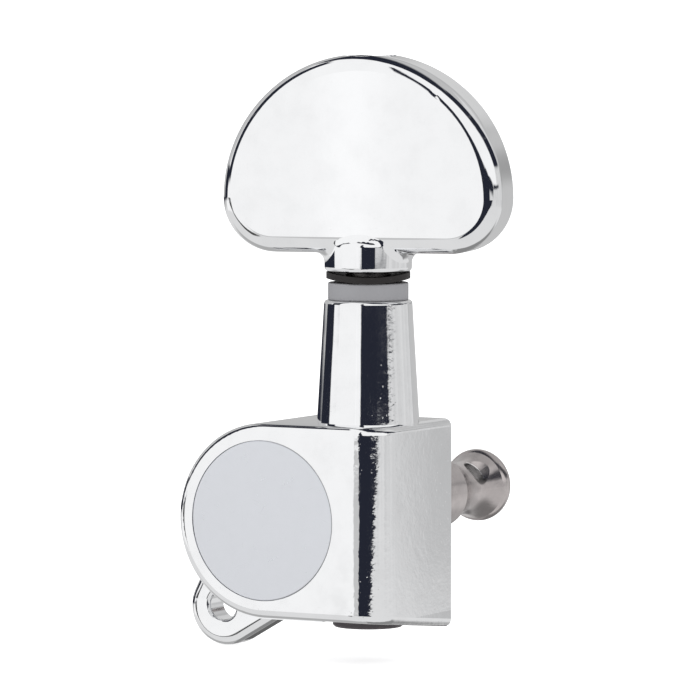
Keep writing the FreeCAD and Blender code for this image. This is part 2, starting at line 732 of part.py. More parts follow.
def rings():
    """Bushes and flat washers, each a plain ring on its own seat."""
    journal, shaft, pilot = "journal_radius", "shaft_radius", "pilot_radius"
    for name, inner, outer, height, place in (
            ("post_bush", journal, "post_bore", "seat_wall - post_washer_thickness", "-(seat_wall)"),
            ("post_washer", journal, "thread_radius - washer_play", "post_washer_thickness",
             "-(post_washer_thickness)"),
            ("wheel_thrust_washer", journal, "wheel_washer_radius", "wheel_washer_thickness",
             "-(wheel_front)"),
            ("wheel_lock_washer", "wheel_screw_radius", "lock_washer_radius",
             "lock_washer_thickness", "-(wheel_back + lock_washer_thickness)")):
        cylinder_ring("ring", post_body(name, place), inner + " + running_gap", outer, height)
    for name, inner, outer, height, place in (
            ("worm_upper_washer", shaft, "worm_bore - washer_play", "thrust_thickness",
             "worm_half_length"),
            ("worm_lower_washer", pilot, "worm_bore - washer_play", "thrust_thickness",
             "-(bore_shoulder)"),
            ("neck_bush", shaft, "neck_bush_radius", "bush_length", "neck_top - bush_length"),
            ("button_screw_washer", "tension_screw_radius", "tension_head_radius",
             "tension_washer_thickness", "tension_seat")):
        cylinder_ring("ring", worm_body(name, place), inner + " + running_gap", outer, height)


def nylon_washer():
    """Grey ring on top of the neck."""
    body = worm_body("nylon_washer", "neck_top")
    cylinder_ring("ring", body, "shaft_radius + running_gap", "nylon_radius", "nylon_height")
    radius = value("nylon_radius")
    soften(body, "edges", lambda edge, at: is_ring(edge, radius), "nylon_round")


def cylinder(name, radius, height):
    """A plain cylinder at the document's origin."""
    solid = doc.addObject("Part::Cylinder", name)
    bind(solid, "Radius", radius)
    bind(solid, "Height", height)
    return solid


def spring_washer():
    """Bowed washer: a flat ring's outline cut out of a sheet bent about one line."""
    bend = "((spring_radius ^ 2 + spring_bow ^ 2) / (2 * spring_bow))"
    tall, wide = "2 * (spring_bow + spring_thickness)", "2 * (spring_radius + overrun)"
    cuts = []
    for name, outer, inner, height in (
            ("ring_blank", "spring_radius", "shaft_radius + spring_play", tall),
            ("bent_sheet", bend, bend + " - spring_thickness", wide)):
        pair = [cylinder(name + side, radius, height)
                for side, radius in (("_outside", outer), ("_inside", inner))]
        cut = doc.addObject("Part::Cut", name)
        cut.Base, cut.Tool = pair
        cuts.append(cut)
    cuts[1].Placement = FreeCAD.Placement(FreeCAD.Vector(), FreeCAD.Rotation(FreeCAD.Vector(1, 0, 0), 90))
    bind(cuts[1], "Placement.Base.y", "spring_radius + overrun")
    bind(cuts[1], "Placement.Base.z", bend)
    washer = doc.addObject("Part::Common", "spring_washer")
    washer.Label = "spring_washer"
    washer.Base, washer.Tool = cuts
    washer.Placement = turned_about(0, 0, 1)
    bind(washer, "Placement.Rotation.Angle", "spring_turn")
    for axis, text in zip("xyz", ("worm_across", "-(worm_depth)", "nylon_top")):
        bind(washer, "Placement.Base." + axis, text)


def button():
    """Half-moon grip with its collar, socket for the shaft and seat for the tension screw."""
    body = worm_body("button")
    body.Placement = turned_about(0, 0, 1)
    bind(body, "Placement.Rotation.Angle", "button_turn")
    half = "button_radius - button_corner"
    low = "(%s + button_corner * sin(45))" % half
    outline = draw(new_sketch(body, "outline"), [
        ("-(%s)" % half, "button_bottom"), (half, "button_bottom"),
        ("arc", (low, "button_middle - button_corner * sin(45)")),
        ("button_radius", "button_middle"),
        ("arc", ("0", "button_middle + button_radius")),
        ("-(button_radius)", "button_middle"),
        ("arc", ("-" + low, "button_middle - button_corner * sin(45)"))])
    raise_sketch(body, "grip", outline, "button_thickness", both=True)
    face = value("button_thickness / 2")
    soften(body, "grip_edges", lambda edge, at: near(abs(at.y), face), "button_round")
    revolve(body, "collar", [
        ("0", "collar_bottom"), ("collar_radius - collar_round", "collar_bottom"),
        ("arc", ("collar_radius - collar_round * (1 - sin(45))",
                 "collar_bottom + collar_round * (1 - sin(45))")),
        ("collar_radius", "collar_bottom + collar_round"),
        ("collar_radius", "button_bottom + collar_blend"),
        ("arc", ("collar_radius - collar_blend * (1 - sin(45))",
                 "button_bottom + collar_blend * (1 + sin(45))")),
        ("collar_radius - collar_blend", "button_bottom + 2 * collar_blend"),
        ("0", "button_bottom + 2 * collar_blend")])
    under, ring = value("button_bottom"), value("collar_radius")
    soften(body, "collar_foot", lambda edge, at: is_ring(edge, ring, under), "collar_foot")
    flat = "(shaft_flat + seated_gap)"
    round_part = "(shaft_radius + seated_gap)"
    chord = "sqrt(%s ^ 2 - %s ^ 2)" % (round_part, flat)
    socket = new_sketch(body, "socket_outline", "XY_Plane", "collar_bottom")
    socket.AttachmentOffset = turned_about(0, 0, 1)
    bind(socket, "AttachmentOffset.Rotation.Angle", "-(button_turn)")
    draw(socket, [("-" + chord, "-" + flat), (chord, "-" + flat), ("arc", (round_part, "0")),
                  (chord, flat), ("-" + chord, flat), ("arc", ("-" + round_part, "0"))])
    raise_sketch(body, "socket", socket, "shaft_grip + shaft_chamfer", cuts=True, back=True)
    revolve(body, "screw_seat", [
        ("0", "shaft_end"), ("tension_screw_radius + running_gap", "shaft_end"),
        ("tension_screw_radius + running_gap", "tension_seat"),
        ("tension_head_radius + tension_head_gap", "tension_seat"),
        ("tension_head_radius + tension_head_gap", "button_top"),
        ("spot_radius", "button_top"), ("spot_radius", "button_top + overrun"),
        ("0", "button_top + overrun")], cuts=True)


def button_screw():
    """Tension screw, with a cross recess in its flush head."""
    body = worm_body("button_screw", "tension_seat + tension_washer_thickness")
    revolve(body, "turning", [
        ("0", "-(tension_screw_length)"), ("tension_screw_radius", "-(tension_screw_length)"),
        ("tension_screw_radius", "0"), ("tension_head_radius", "0"),
        ("tension_head_radius", "tension_head_height"), ("0", "tension_head_height")])
    arm, half = "cross_arm", "cross_width / 2"
    cross = draw(new_sketch(body, "cross_outline", "XY_Plane", "tension_head_height"), [
        ("-(%s)" % x if sx < 0 else x, "-(%s)" % y if sy < 0 else y)
        for x, y, sx, sy in ((half, arm, -1, -1), (half, arm, 1, -1), (half, half, 1, -1),
                             (arm, half, 1, -1), (arm, half, 1, 1), (half, half, 1, 1),
                             (half, arm, 1, 1), (half, arm, -1, 1), (half, half, -1, 1),
                             (arm, half, -1, 1), (arm, half, -1, -1), (half, half, -1, -1))])
    raise_sketch(body, "cross", cross, "cross_depth", cuts=True)


def write_parts():
    """Check every object, then write each sub-part to its own file."""
    doc.recompute()
    for thing in doc.Objects:
        if "Invalid" in thing.State or "Error" in thing.State:
            raise RuntimeError("%s failed: %s" % (thing.Label, thing.State))
    used = {part.Name for thing in doc.Objects if thing.TypeId.startswith("Part::")
            for part in thing.OutList}
    parts = [thing for thing in doc.Objects if thing.Name not in used
             and (thing.TypeId == "PartDesign::Body" or thing.TypeId.startswith("Part::"))]
    os.makedirs("parts", exist_ok=True)
    for part in parts:
        shape = part.Shape
        if shape.isNull() or not shape.isValid() or not shape.Solids:
            raise RuntimeError("%s has no valid solid" % part.Label)
        shape.exportStep("parts/%s.step" % part.Label)
        print("%-22s %9.3f mm3" % (part.Label, shape.Volume))


fill_sheet()
housing()
gear_cover()
string_post()
worm_wheel()
wheel_screw()
worm_shaft()
worm_end_plug()
rings()
nylon_washer()
spring_washer()
button()
button_screw()
seal_ring("post_seal_ring", "journal_radius + running_gap", "0", "-(post_seal_place)", "0", "Y")
seal_ring("neck_seal_ring", "shaft_bore", "worm_across", "-(worm_depth)", "neck_seal_place", "Z")
write_parts()
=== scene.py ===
"""A guitar tuning machine: the finishes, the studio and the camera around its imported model."""

from math import cos, hypot, radians, sin

import bmesh
import bpy
from bpy.props import FloatProperty, FloatVectorProperty, PointerProperty
from mathutils import Matrix, Vector


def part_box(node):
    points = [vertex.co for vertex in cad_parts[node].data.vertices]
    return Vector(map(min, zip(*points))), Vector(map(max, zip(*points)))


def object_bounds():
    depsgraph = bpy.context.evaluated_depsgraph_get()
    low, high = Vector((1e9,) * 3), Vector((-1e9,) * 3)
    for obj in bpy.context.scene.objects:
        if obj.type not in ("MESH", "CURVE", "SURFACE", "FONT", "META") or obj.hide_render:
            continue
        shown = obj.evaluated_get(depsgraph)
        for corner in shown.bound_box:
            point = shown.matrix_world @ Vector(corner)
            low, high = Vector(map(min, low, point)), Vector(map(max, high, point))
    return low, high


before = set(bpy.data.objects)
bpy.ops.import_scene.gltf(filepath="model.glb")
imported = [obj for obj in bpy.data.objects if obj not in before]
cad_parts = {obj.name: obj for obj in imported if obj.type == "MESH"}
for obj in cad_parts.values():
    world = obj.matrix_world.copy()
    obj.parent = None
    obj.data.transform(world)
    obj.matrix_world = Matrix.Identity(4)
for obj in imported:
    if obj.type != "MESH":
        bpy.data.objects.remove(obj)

CAD_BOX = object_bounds()

bl_info = {
    "name": "Guitar Tuning Machine",
    "version": (1, 0, 0),
    "blender": (4, 5, 0),
    "location": "3D View > Sidebar > Tuner",
    "description": "Plates a sealed tuning machine and sets its studio",
    "category": "Object",
}

MM = 0.001
MICRON = 0.000001
WHITE = (1.0, 1.0, 1.0, 1.0)

# The shell of the housing: its top and foot, the height and the depth where its bulge is
# level, and where its side face begins and is full. The neck stands on its top.
SHELL_TOP = 7.75 * MM
SHELL_FOOT = -7.75 * MM
CROWN_MIDDLE = 6.0 * MM
SHELL_MIDDLE = -6.1 * MM
SIDE_START = 7.6 * MM
SIDE_FULL = 9.0 * MM
NECK_BLEND = 0.5 * MM

# The button: its angle round the shaft at rest and half its width.
BUTTON_TURN = radians(14.2)
BUTTON_HALF = 11.0 * MM

# The string hole: its angle round the post, its place along the post and its radius.
HOLE_TURN = radians(46.0)
HOLE_PLACE = 21.5 * MM
HOLE_RADIUS = 1.05 * MM

# How many times longer than wide a hairline and a lathe's ring are, and how many times the
# size of a hairline the patches are in which hairlines lie.
SCRATCH_STRETCH = 24.0
SCRATCH_PATCH = 14.0
RING_STRETCH = 50.0

# Numbers of the Mix node's sockets for colours: its factor, its two colours and its result.
MIX_FACTOR, MIX_FIRST, MIX_SECOND, MIX_RESULT = 0, 6, 7, 2

FLOOR_GAP = 0.05 * MM
FILL_SIZE = 0.5
FILL_PLACE = Vector((-0.12, -0.2, 0.45))
FILL_TARGET = Vector((0.0, 0.0, 0.01))
CAMERA_PLACE = Vector((236.32, -424.716, 45.358)) * MM
SENSOR_WIDTH = 36.0
CLIP_NEAR, CLIP_FAR = 0.01, 100.0


def colour(name, default, description):
    """A colour that a user may change."""
    return FloatVectorProperty(
        name=name, description=description, default=default, min=0.0, max=1.0, subtype="COLOR"
    )


def share(name, default, description):
    """A number from nought to one that a user may change."""
    return FloatProperty(
        name=name, description=description, default=default, min=0.0, max=1.0, subtype="FACTOR"
    )


def length(name, default, description):
    """A length in metres that a user may change."""
    return FloatProperty(
        name=name, description=description, default=default, min=0.0, unit="LENGTH", precision=6
    )


class TunerFinish(bpy.types.PropertyGroup):
    """The colours and surface sizes of the machine's pieces."""

    chrome: colour("Chrome", (0.9, 0.905, 0.915), "Plating of the housing and the button")
    chrome_haze: share("Chrome haze", 0.045, "Roughness of the plating where it is clean")
    peel_size: length("Peel size", 0.45 * MM, "Distance between the plating's small swells")
    peel_height: length("Peel height", 11 * MICRON, "Height of the plating's small swells")
    crown: share("Crown", 0.044, "Slope of the casting's bulge at its upper and lower ends")
    pit_size: length("Pit size", 0.5 * MM, "Distance between pits in the casting")
    pit_depth: length("Pit depth", 6 * MICRON, "Depth of a pit in the casting")
    cover: colour("Cover", (0.8, 0.818, 0.86), "Satin plating of the gear cover")
    cover_haze: share("Cover haze", 0.25, "Roughness of the satin cover")
    post: colour("Post", (0.61, 0.566, 0.558), "Plating of the turned string post")
    # A painted highlight: the wall of the string hole, coloured as if lit.
    bore_highlight: colour("String hole", (0.97, 0.96, 0.96), "Bright wall of the string hole")
    plug: colour("Plug", (0.056, 0.05, 0.054), "Dark finish of the worm's end plug")
    plug_rub: colour("Rubbed plug", (0.12, 0.1, 0.1), "High spots of the plug")
    nylon: colour("Grey nylon", (0.262, 0.262, 0.275), "Moulded ring on top of the neck")
    spring: colour("Blackened spring", (0.02, 0.018, 0.018), "Oxide finish of the bowed washer")
    spring_rub: colour("Rubbed spring", (0.09, 0.085, 0.085), "High spots of the bowed washer")
    brass: colour("Brass", (0.79, 0.58, 0.27), "Hobbed worm wheel")
    steel: colour("Steel", (0.6, 0.6, 0.61), "Plain washers and screws inside")
    shaft: colour("Shaft", (0.2, 0.19, 0.185), "Oiled steel of the worm and its shaft")
    bearing: colour("White nylon", (0.83, 0.83, 0.8), "Bearing sleeves and thrust washers")
    rubber: colour("Rubber", (0.025, 0.025, 0.027), "Seal rings")


class TunerStage(bpy.types.PropertyGroup):
    """The studio's floor, light and camera."""

    floor: colour("Floor", (0.86, 0.86, 0.865), "Pale floor")
    floor_glow: share(
        "Floor glow", 0.62, "How much the floor shines by itself, which keeps it pale"
    )
    floor_reach: length("Floor reach", 9.0, "Half the side of the floor")
    box_light: share("Softbox", 1.0, "Brightness of the softboxes in the plating")
    wall_light: share("Walls", 0.64, "Brightness of the walls in the plating")
    ceiling_light: share("Ceiling", 0.55, "Brightness of the far ceiling in the plating")
    dark: colour("Dark", (0.019, 0.0215, 0.034), "The studio's dark openings in the plating")
    fill_power: FloatProperty(
        name="Fill", description="Power of the large light above", default=0.16, min=0.0,
        unit="POWER",
    )
    camera_turn: FloatProperty(
        name="Camera turn", description="Angle of the view round the machine",
        default=radians(28.96), subtype="ANGLE",
    )
    camera_rise: FloatProperty(
        name="Camera rise", description="Angle of the view above the floor",
        default=radians(3.82), subtype="ANGLE",
    )
    camera_lens: FloatProperty(
        name="Lens", description="Focal length in millimetres on a sensor 36 mm wide",
        default=308.57, min=1.0, subtype="DISTANCE_CAMERA",
    )


class Wire:
    """A socket that takes part in sums, each of which adds its Math node."""

    def __init__(self, sheet, socket):
        self.sheet = sheet
        self.socket = socket

    def sum(self, operation, *others):
        return self.sheet.math(operation, self, *others)

    def __add__(self, other):
        return self.sum("ADD", other)

    __radd__ = __add__

    def __sub__(self, other):
        return self.sum("SUBTRACT", other)

    def __rsub__(self, other):
        return self.sheet.math("SUBTRACT", other, self)

    def __mul__(self, other):
        return self.sum("MULTIPLY", other)

    __rmul__ = __mul__

    def __truediv__(self, other):
        return self.sum("DIVIDE", other)


class Sheet:
    """A node tree that is filled from an empty start."""

    def __init__(self, tree):
        self.tree = tree
        tree.nodes.clear()

    def node(self, kind, settings=None, inputs=None, output=0):
        """Adds a node: its settings first, then the values and links of its sockets."""
        node = self.tree.nodes.new(kind)
        for name, value in (settings or {}).items():
            if name == "stops":
                self.fill_ramp(node.color_ramp, value)
            else:
                setattr(node, name, value)
        for name, value in (inputs or {}).items():
            if isinstance(value, Wire):
                self.tree.links.new(value.socket, node.inputs[name])
            else:
                node.inputs[name].default_value = value
        if not node.outputs:
            return node
        return Wire(self, node.outputs[output])

    def fill_ramp(self, ramp, stops):
        """Gives a colour ramp its stops, each a place and a grey."""
        while len(ramp.elements) > 1:
            ramp.elements.remove(ramp.elements[-1])
        for number, (place, grey) in enumerate(stops):
            stop = ramp.elements[0] if number == 0 else ramp.elements.new(place)
            stop.position = place
            stop.color = opaque([grey] * 3)

    def math(self, operation, *values):
        """The number that a Math node makes."""
        return self.node("ShaderNodeMath", {"operation": operation}, dict(enumerate(values)))

    def step(self, value, low, high):
        """Rises smoothly from nought at low to one at high."""
        return self.node(
            "ShaderNodeMapRange", {"interpolation_type": "SMOOTHSTEP"},
            {"Value": value, "From Min": low, "From Max": high},
        )

    def mix(self, factor, first, second):
        """A colour between two."""
        return self.node(
            "ShaderNodeMix", {"data_type": "RGBA"},
            {MIX_FACTOR: factor, MIX_FIRST: first, MIX_SECOND: second}, MIX_RESULT,
        )

    def vector(self, operation, first, second, output=0):
        """The vector that a Vector Math node makes, or its Value."""
        return self.node(
            "ShaderNodeVectorMath", {"operation": operation}, {0: first, 1: second}, output
        )

    def length(self, vector):
        """How long a vector is."""
        return self.node("ShaderNodeVectorMath", {"operation": "LENGTH"}, {0: vector}, "Value")

    def split(self, vector):
        """The three parts of a vector."""
        parts = self.tree.nodes.new("ShaderNodeSeparateXYZ")
        self.tree.links.new(vector.socket, parts.inputs[0])
        return [Wire(self, part) for part in parts.outputs]

    def place(self):
        """The point on the piece, in its own metres."""
        return self.node("ShaderNodeTexCoord", None, None, "Object")

    def stretched(self, place, scale, turn=(0.0, 0.0, 0.0)):
        """A place turned and then stretched, for patterns that run one way."""
        return self.node(
            "ShaderNodeMapping", {"vector_type": "TEXTURE"},
            {"Vector": place, "Rotation": turn, "Scale": scale},
        )

    def noise(self, place, size, detail, rough, seed):
        """Soft noise whose swells lie about size apart."""
        return self.node(
            "ShaderNodeTexNoise", {"noise_dimensions": "4D"},
            {"Vector": place, "W": seed, "Scale": 1.0 / size, "Detail": detail, "Roughness": rough},
        )

    def spots(self, place, size, reach):
        """Round spots about size apart; one at a spot's middle, nought from reach outwards."""
        distance = self.node(
            "ShaderNodeTexVoronoi", {"feature": "F1"}, {"Vector": place, "Scale": 1.0 / size}
        )
        return 1.0 - self.step(distance, 0.0, reach)

    def bump(self, height, depth, normal=None):
        """A normal bent by a height from nought to one that stands for depth metres."""
        inputs = {"Height": height, "Distance": depth, "Strength": 1.0}
        if normal is not None:
            inputs["Normal"] = normal
        return self.node("ShaderNodeBump", None, inputs)


def new_finish(name):
    """An empty material with its sheet and its point on the piece."""
    material = bpy.data.materials.new(name)
    material.use_nodes = True
    sheet = Sheet(material.node_tree)
    return material, sheet, sheet.place()


def close_finish(material, sheet, inputs, shown):
    """Ends a material in one surface shader."""
    surface = sheet.node("ShaderNodeBsdfPrincipled", None, inputs)
    sheet.node("ShaderNodeOutputMaterial", None, {"Surface": surface})
    material.diffuse_color = (*shown, 1.0)
    return material


def opaque(value):
    """A property's colour as a socket wants it."""
    return (value[0], value[1], value[2], 1.0)


def darker(value, factor):
    """A colour times a factor."""
    return (value[0] * factor, value[1] * factor, value[2] * factor, 1.0)


def scratches(sheet, place, size, turn, seed):
    """Thin straight hairlines in one direction, as a mask from nought to one."""
    drawn_out = sheet.stretched(place, (SCRATCH_STRETCH, 1.0, 1.0), turn)
    fine = sheet.noise(drawn_out, size, detail=1.0, rough=0.4, seed=seed)
    patch = sheet.noise(place, SCRATCH_PATCH * size, detail=1.0, rough=0.5, seed=seed + 3.0)
    return sheet.step(fine, 0.7, 0.76) * sheet.step(patch, 0.5, 0.62)


def crown(across, reach, slope):
    """A bulge in metres over a distance from its middle, which has this slope at reach."""
    return across * across * (-0.5 * slope / reach)


def middle(box):
    """The point halfway between the corners of a box."""
    return [0.5 * (low + high) for low, high in zip(*box)]


def cast_relief(sheet, place, settings, swell, peel):
    """The casting's normal: bulged faces and soft swells, with peel and pits at its side."""
    across, along, upward = sheet.split(place)
    level = sheet.math("MINIMUM", sheet.math("MAXIMUM", upward, SHELL_FOOT), SHELL_TOP)
    bulge = crown(level - CROWN_MIDDLE, SHELL_TOP, 0.7 * settings.crown)
    bulge = bulge + crown(along - SHELL_MIDDLE, SHELL_TOP, settings.crown)
    on_neck = sheet.step(upward, SHELL_TOP, SHELL_TOP + NECK_BLEND)
    side = sheet.step(across, SIDE_START, SIDE_FULL) * (1.0 - 0.45 * on_neck)
    pits = sheet.spots(place, settings.pit_size, reach=0.16)
    patch = sheet.step(sheet.noise(place, 3.4 * MM, detail=2.0, rough=0.5, seed=5.0), 0.44, 0.6)
    normal = sheet.bump(bulge, 1.0)
    normal = sheet.bump(swell, 16 * MICRON, normal)
    normal = sheet.bump(peel * (0.08 + side), settings.peel_height, normal)
    return sheet.bump(1.0 - pits * patch * (0.1 + side), settings.pit_depth, normal)


def button_relief(sheet, place, settings, swell, peel):
    """The button's normal: a face bulged a little over its width, and a faint peel."""
    across, along, _ = sheet.split(place)
    middle_across, middle_along, _ = middle(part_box("button"))
    face = (across - middle_across) * cos(BUTTON_TURN)
    face = face + (along - middle_along) * sin(BUTTON_TURN)
    normal = sheet.bump(crown(face, BUTTON_HALF, 0.4 * settings.crown), 1.0)
    normal = sheet.bump(swell, 3 * MICRON, normal)
    return sheet.bump(peel, 0.05 * settings.peel_height, normal)


def chrome_finish(name, settings, relief, cloudy):
    """Bright chrome over a relief. Cloudy plating is duller in patches by that much."""
    material, sheet, place = new_finish(name)
    swell = sheet.noise(place, 3.2 * MM, detail=1.0, rough=0.4, seed=1.0)
    peel = sheet.noise(place, settings.peel_size, detail=2.0, rough=0.5, seed=2.0)
    grain = sheet.noise(place, 0.12 * MM, detail=1.0, rough=0.5, seed=3.0)
    bloom = sheet.noise(place, 2.1 * MM, detail=3.0, rough=0.6, seed=6.0)
    lines = scratches(sheet, place, 0.1 * MM, (0.3, 0.5, 0.9), 4.0)
    lines = lines + scratches(sheet, place, 0.08 * MM, (1.1, 0.2, 2.2), 9.0)
    normal = relief(sheet, place, settings, swell, peel)
    normal = sheet.bump(grain + lines, 0.12 * MICRON, normal)
    haze = settings.chrome_haze + cloudy * sheet.step(bloom, 0.45, 0.75) + 0.12 * lines
    tone = sheet.mix(
        sheet.step(bloom, 0.35, 0.8), opaque(settings.chrome), darker(settings.chrome, 0.955)
    )
    inputs = {"Base Color": tone, "Metallic": 1.0, "Roughness": haze, "Normal": normal}
    return close_finish(material, sheet, inputs, settings.chrome)


def rim_gap_shade(sheet, place):
    """One on the painted shade in the gap at the right of the gear cover's rim, and nought
    elsewhere.
    """
    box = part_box("gear_cover")
    radius = 0.5 * (box[1][0] - box[0][0])
    flat = sheet.vector("SUBTRACT", place, middle(box))
    flat = sheet.vector("MULTIPLY", flat, (1.0, 0.0, 1.0))
    rim = sheet.step(sheet.length(flat), radius - 0.13 * MM, radius - 0.05 * MM)
    return rim * sheet.step(sheet.split(flat)[0], -0.3 * radius, 0.6 * radius)


def satin_finish(name, settings):
    """The rubbed cover: even satin with short hairlines every way, a few small stains and painted
    shade in the gap at the right of its rim.
    """
    material, sheet, place = new_finish(name)
    lines = scratches(sheet, place, 0.09 * MM, (0.0, 0.4, 0.0), 1.0)
    for number, turn in enumerate((0.9, 1.5, 2.1, 2.7)):
        lines = lines + scratches(sheet, place, 0.07 * MM, (0.0, turn, 0.0), 5.0 + number)
    cloud = sheet.noise(place, 2.4 * MM, detail=3.0, rough=0.55, seed=2.0)
    stain = sheet.noise(place, 0.7 * MM, detail=2.0, rough=0.6, seed=8.0)
    stain = sheet.step(stain, 0.64, 0.78)
    grain = sheet.noise(place, 0.09 * MM, detail=2.0, rough=0.6, seed=4.0)
    tone = sheet.mix(
        sheet.step(cloud, 0.3, 0.75), darker(settings.cover, 0.985), darker(settings.cover, 1.02)
    )
    tone = sheet.mix(0.22 * lines + 0.12 * stain, tone, darker(settings.cover, 0.72))
    # Painted shade: a dark line in the gap at the right of the cover's rim.
    tone = sheet.mix(0.8 * rim_gap_shade(sheet, place), tone, darker(settings.cover, 0.3))
    haze = settings.cover_haze + 0.1 * cloud - 0.03 * lines
    normal = sheet.bump(grain, 1.2 * MICRON)
    normal = sheet.bump(lines, 0.15 * MICRON, normal)
    inputs = {"Base Color": tone, "Metallic": 1.0, "Roughness": haze, "Normal": normal}
    return close_finish(material, sheet, inputs, settings.cover)


def bore_painted_light(sheet, place, tone, shade, bright):
    """Paints a highlight on the wall of the string hole and paints shade at the lower left of its
    mouth.
    """
    axis = (cos(HOLE_TURN), 0.0, sin(HOLE_TURN))
    lower_left = (0.8 * sin(HOLE_TURN), -0.6, -0.8 * cos(HOLE_TURN))
    reach = sheet.vector("SUBTRACT", place, (0.0, HOLE_PLACE, 0.0))
    away = sheet.length(sheet.vector("CROSS_PRODUCT", reach, axis))
    outside = sheet.step(away, HOLE_RADIUS + 0.01 * MM, HOLE_RADIUS + 0.05 * MM)
    # Painted highlight on the wall inside the string hole.
    tone = sheet.mix(1.0 - outside, tone, opaque(bright))
    # Painted shade: a dark band at the lower left of the hole's mouth.
    mouth_shade = sheet.step(away, HOLE_RADIUS - 0.03 * MM, HOLE_RADIUS + 0.03 * MM)
    mouth_shade = mouth_shade * (1.0 - sheet.step(away, HOLE_RADIUS + 0.2 * MM, HOLE_RADIUS + 0.35 * MM))
    under = sheet.vector("DOT_PRODUCT", reach, lower_left, "Value")
    mouth_shade = mouth_shade * sheet.step(under, 0.1 * MM, 0.6 * MM)
    return sheet.mix(0.85 * mouth_shade, tone, darker(shade, 0.15))


def turned_finish(name, shade, haze, axis, worn=0.0, bore_highlight=None):
    """Metal from a lathe: fine rings round an axis, uneven tone and wear."""
    material, sheet, place = new_finish(name)
    stretch = [1.0 if letter == axis else RING_STRETCH for letter in "XYZ"]
    drawn_out = sheet.stretched(place, stretch)
    rings = sheet.noise(drawn_out, 0.11 * MM, detail=2.0, rough=0.6, seed=1.0)
    cloud = sheet.noise(place, 1.5 * MM, detail=3.0, rough=0.6, seed=2.0)
    tone = sheet.mix(sheet.step(cloud, 0.3, 0.75), opaque(shade), darker(shade, 0.84 - 0.1 * worn))
    # The string hole's painted highlight and the painted shade at its mouth.
    if bore_highlight is not None:
        tone = bore_painted_light(sheet, place, tone, shade, bore_highlight)
    rough = haze + 0.09 * cloud + 0.05 * rings
    normal = sheet.bump(rings, 0.9 * MICRON)
    normal = sheet.bump(cloud, 2.5 * MICRON, normal)
    inputs = {"Base Color": tone, "Metallic": 1.0, "Roughness": rough, "Normal": normal}
    return close_finish(material, sheet, inputs, shade)


def moulded_finish(name, shade, haze):
    """Moulded plastic or rubber: matt skin, faint clouds and a fine grain."""
    material, sheet, place = new_finish(name)
    cloud = sheet.noise(place, 1.8 * MM, detail=3.0, rough=0.6, seed=1.0)
    grain = sheet.noise(place, 0.1 * MM, detail=2.0, rough=0.6, seed=2.0)
    inputs = {
        "Base Color": sheet.mix(cloud, darker(shade, 0.92), darker(shade, 1.06)),
        "Roughness": haze + 0.12 * cloud,
        "Normal": sheet.bump(grain, 1.6 * MICRON),
        "Specular IOR Level": 0.45,
    }
    return close_finish(material, sheet, inputs, shade)


def oxide_finish(name, shade, bright):
    """Blackened steel, a little oily, rubbed bright on its high spots."""
    material, sheet, place = new_finish(name)
    cloud = sheet.noise(place, 0.9 * MM, detail=3.0, rough=0.6, seed=1.0)
    grain = sheet.noise(place, 0.08 * MM, detail=2.0, rough=0.6, seed=2.0)
    inputs = {
        "Base Color": sheet.mix(sheet.step(cloud, 0.62, 0.8), opaque(shade), opaque(bright)),
        "Roughness": 0.38 + 0.2 * grain,
        "Normal": sheet.bump(grain, 1.5 * MICRON),
        "Specular IOR Level": 0.2,
    }
    return close_finish(material, sheet, inputs, shade)


def dress(material, *names):
    """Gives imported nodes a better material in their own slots."""
    for name in names:
        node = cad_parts[name]
        if not node.material_slots:
            raise RuntimeError(f"{name} has no material slot")
        for slot in node.material_slots:
            slot.material = material


class TUNER_OT_castings(bpy.types.Operator):
    """Plate the housing and the button in chrome"""

    bl_idname = "tuner.castings"
    bl_label = "Housing and Button"

    def execute(self, context):
        settings = context.scene.tuner_finish
        dress(chrome_finish("housing_chrome", settings, cast_relief, cloudy=0.05), "housing")
        dress(chrome_finish("button_chrome", settings, button_relief, cloudy=0.0), "button")
        return {"FINISHED"}


class TUNER_OT_cover(bpy.types.Operator):
    """Give the gear cover its satin face"""

    bl_idname = "tuner.cover"
    bl_label = "Gear Cover"

    def execute(self, context):
        dress(satin_finish("cover_satin", context.scene.tuner_finish), "gear_cover")
        return {"FINISHED"}


class TUNER_OT_post(bpy.types.Operator):
    """Give the string post its turned plating"""

    bl_idname = "tuner.post"
    bl_label = "String Post"

    def execute(self, context):
        settings = context.scene.tuner_finish
        # The post's finish has a painted highlight in its string hole and painted shade at the
        # hole's mouth.
        dress(
            turned_finish("post_plate", settings.post, haze=0.16, axis="Y", bore_highlight=settings.bore_highlight),
            "string_post",
        )
        return {"FINISHED"}


class TUNER_OT_neck_stack(bpy.types.Operator):
    """Finish the nylon ring, the bowed washer and the plug"""

    bl_idname = "tuner.neck_stack"
    bl_label = "Ring, Washer and Plug"

    def execute(self, context):
        settings = context.scene.tuner_finish
        dress(moulded_finish("ring_nylon", settings.nylon, haze=0.42), "nylon_washer")
        dress(oxide_finish("spring_oxide", settings.spring, settings.spring_rub), "spring_washer")
        dress(oxide_finish("plug_oxide", settings.plug, settings.plug_rub), "worm_end_plug")
        return {"FINISHED"}


